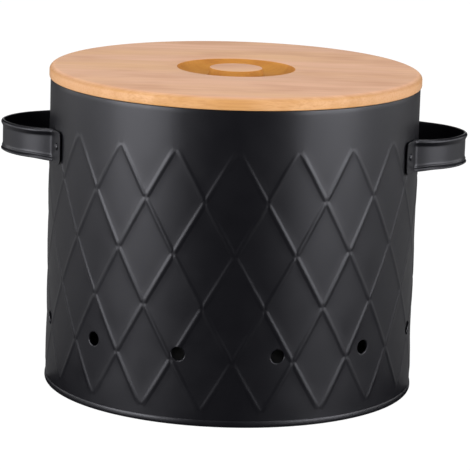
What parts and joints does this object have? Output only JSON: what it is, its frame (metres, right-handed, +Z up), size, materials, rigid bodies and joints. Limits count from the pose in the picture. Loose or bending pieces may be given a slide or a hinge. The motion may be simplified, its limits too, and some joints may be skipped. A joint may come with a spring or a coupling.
{
  "type": "potato storage bin",
  "caption": "Round vented tin drum with an embossed diamond lattice, two riveted strap handles and a lift-off wooden lid with a finger groove.",
  "frame": {"origin": "centre of the underside, on the surface that the bin stands on", "axes": "+Z up along the drum's axis, the handles on +X and -X, the front to -Y, the lock seam at the back on +Y"},
  "size_m": [0.3038, 0.242, 0.208],
  "materials": {
    "black_coat": "satin black powder coat on tinplate",
    "bamboo": "matt oiled bamboo, in strips along X"
  },
  "bodies": {
    "bin": {"body_shell": "black_coat", "base_pan": "black_coat", "handle_left": "black_coat", "handle_right": "black_coat", "handle_rivets": "black_coat"},
    "lid": {"lid": "bamboo"}
  },
  "joints": [
    {"name": "lid_lift", "type": "slide", "parent": "bin", "child": "lid", "axis": [0, 0, 1], "range_m": [0, 0.2]}
  ]
}
